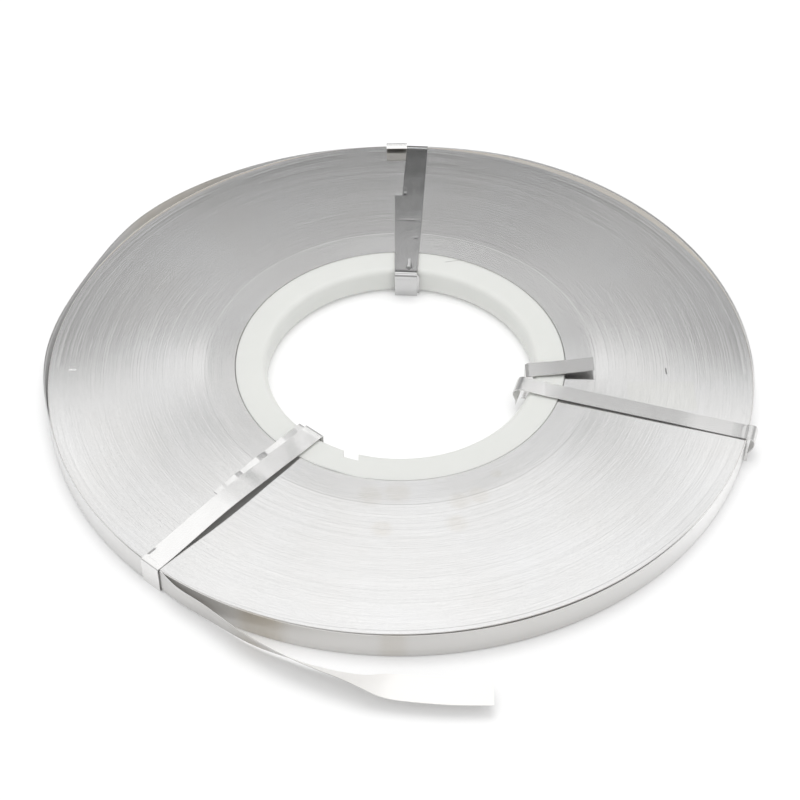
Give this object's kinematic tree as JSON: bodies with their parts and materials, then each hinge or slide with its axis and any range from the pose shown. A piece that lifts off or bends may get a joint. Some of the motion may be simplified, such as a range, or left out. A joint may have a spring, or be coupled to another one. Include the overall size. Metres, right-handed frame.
{
  "type": "nickel strip coil",
  "caption": "Flat coil of thin nickel strip on a plastic core ring, tied with strips of the same metal, its outer end sprung loose.",
  "frame": {"origin": "centre of the coil: on the bore's axis, at half the height of the strip", "axes": "+Z along the bore's axis, up out of the face that shows in the picture; +X to the right and -Y to the front as the picture shows it"},
  "size_m": [0.2049, 0.2204, 0.0107],
  "materials": {
    "nickel": "rolled nickel strip, bright, with fine lines along the strip",
    "tie_nickel": "the same strip, hand bent, a little cleaner",
    "core_plastic": "white moulded plastic, slightly translucent, satin"
  },
  "bodies": {
    "root": {"nickel_coil": "nickel", "core_ring": "core_plastic", "tie_back": "tie_nickel", "tie_left": "tie_nickel", "tie_right": "tie_nickel"}
  },
  "joints": []
}
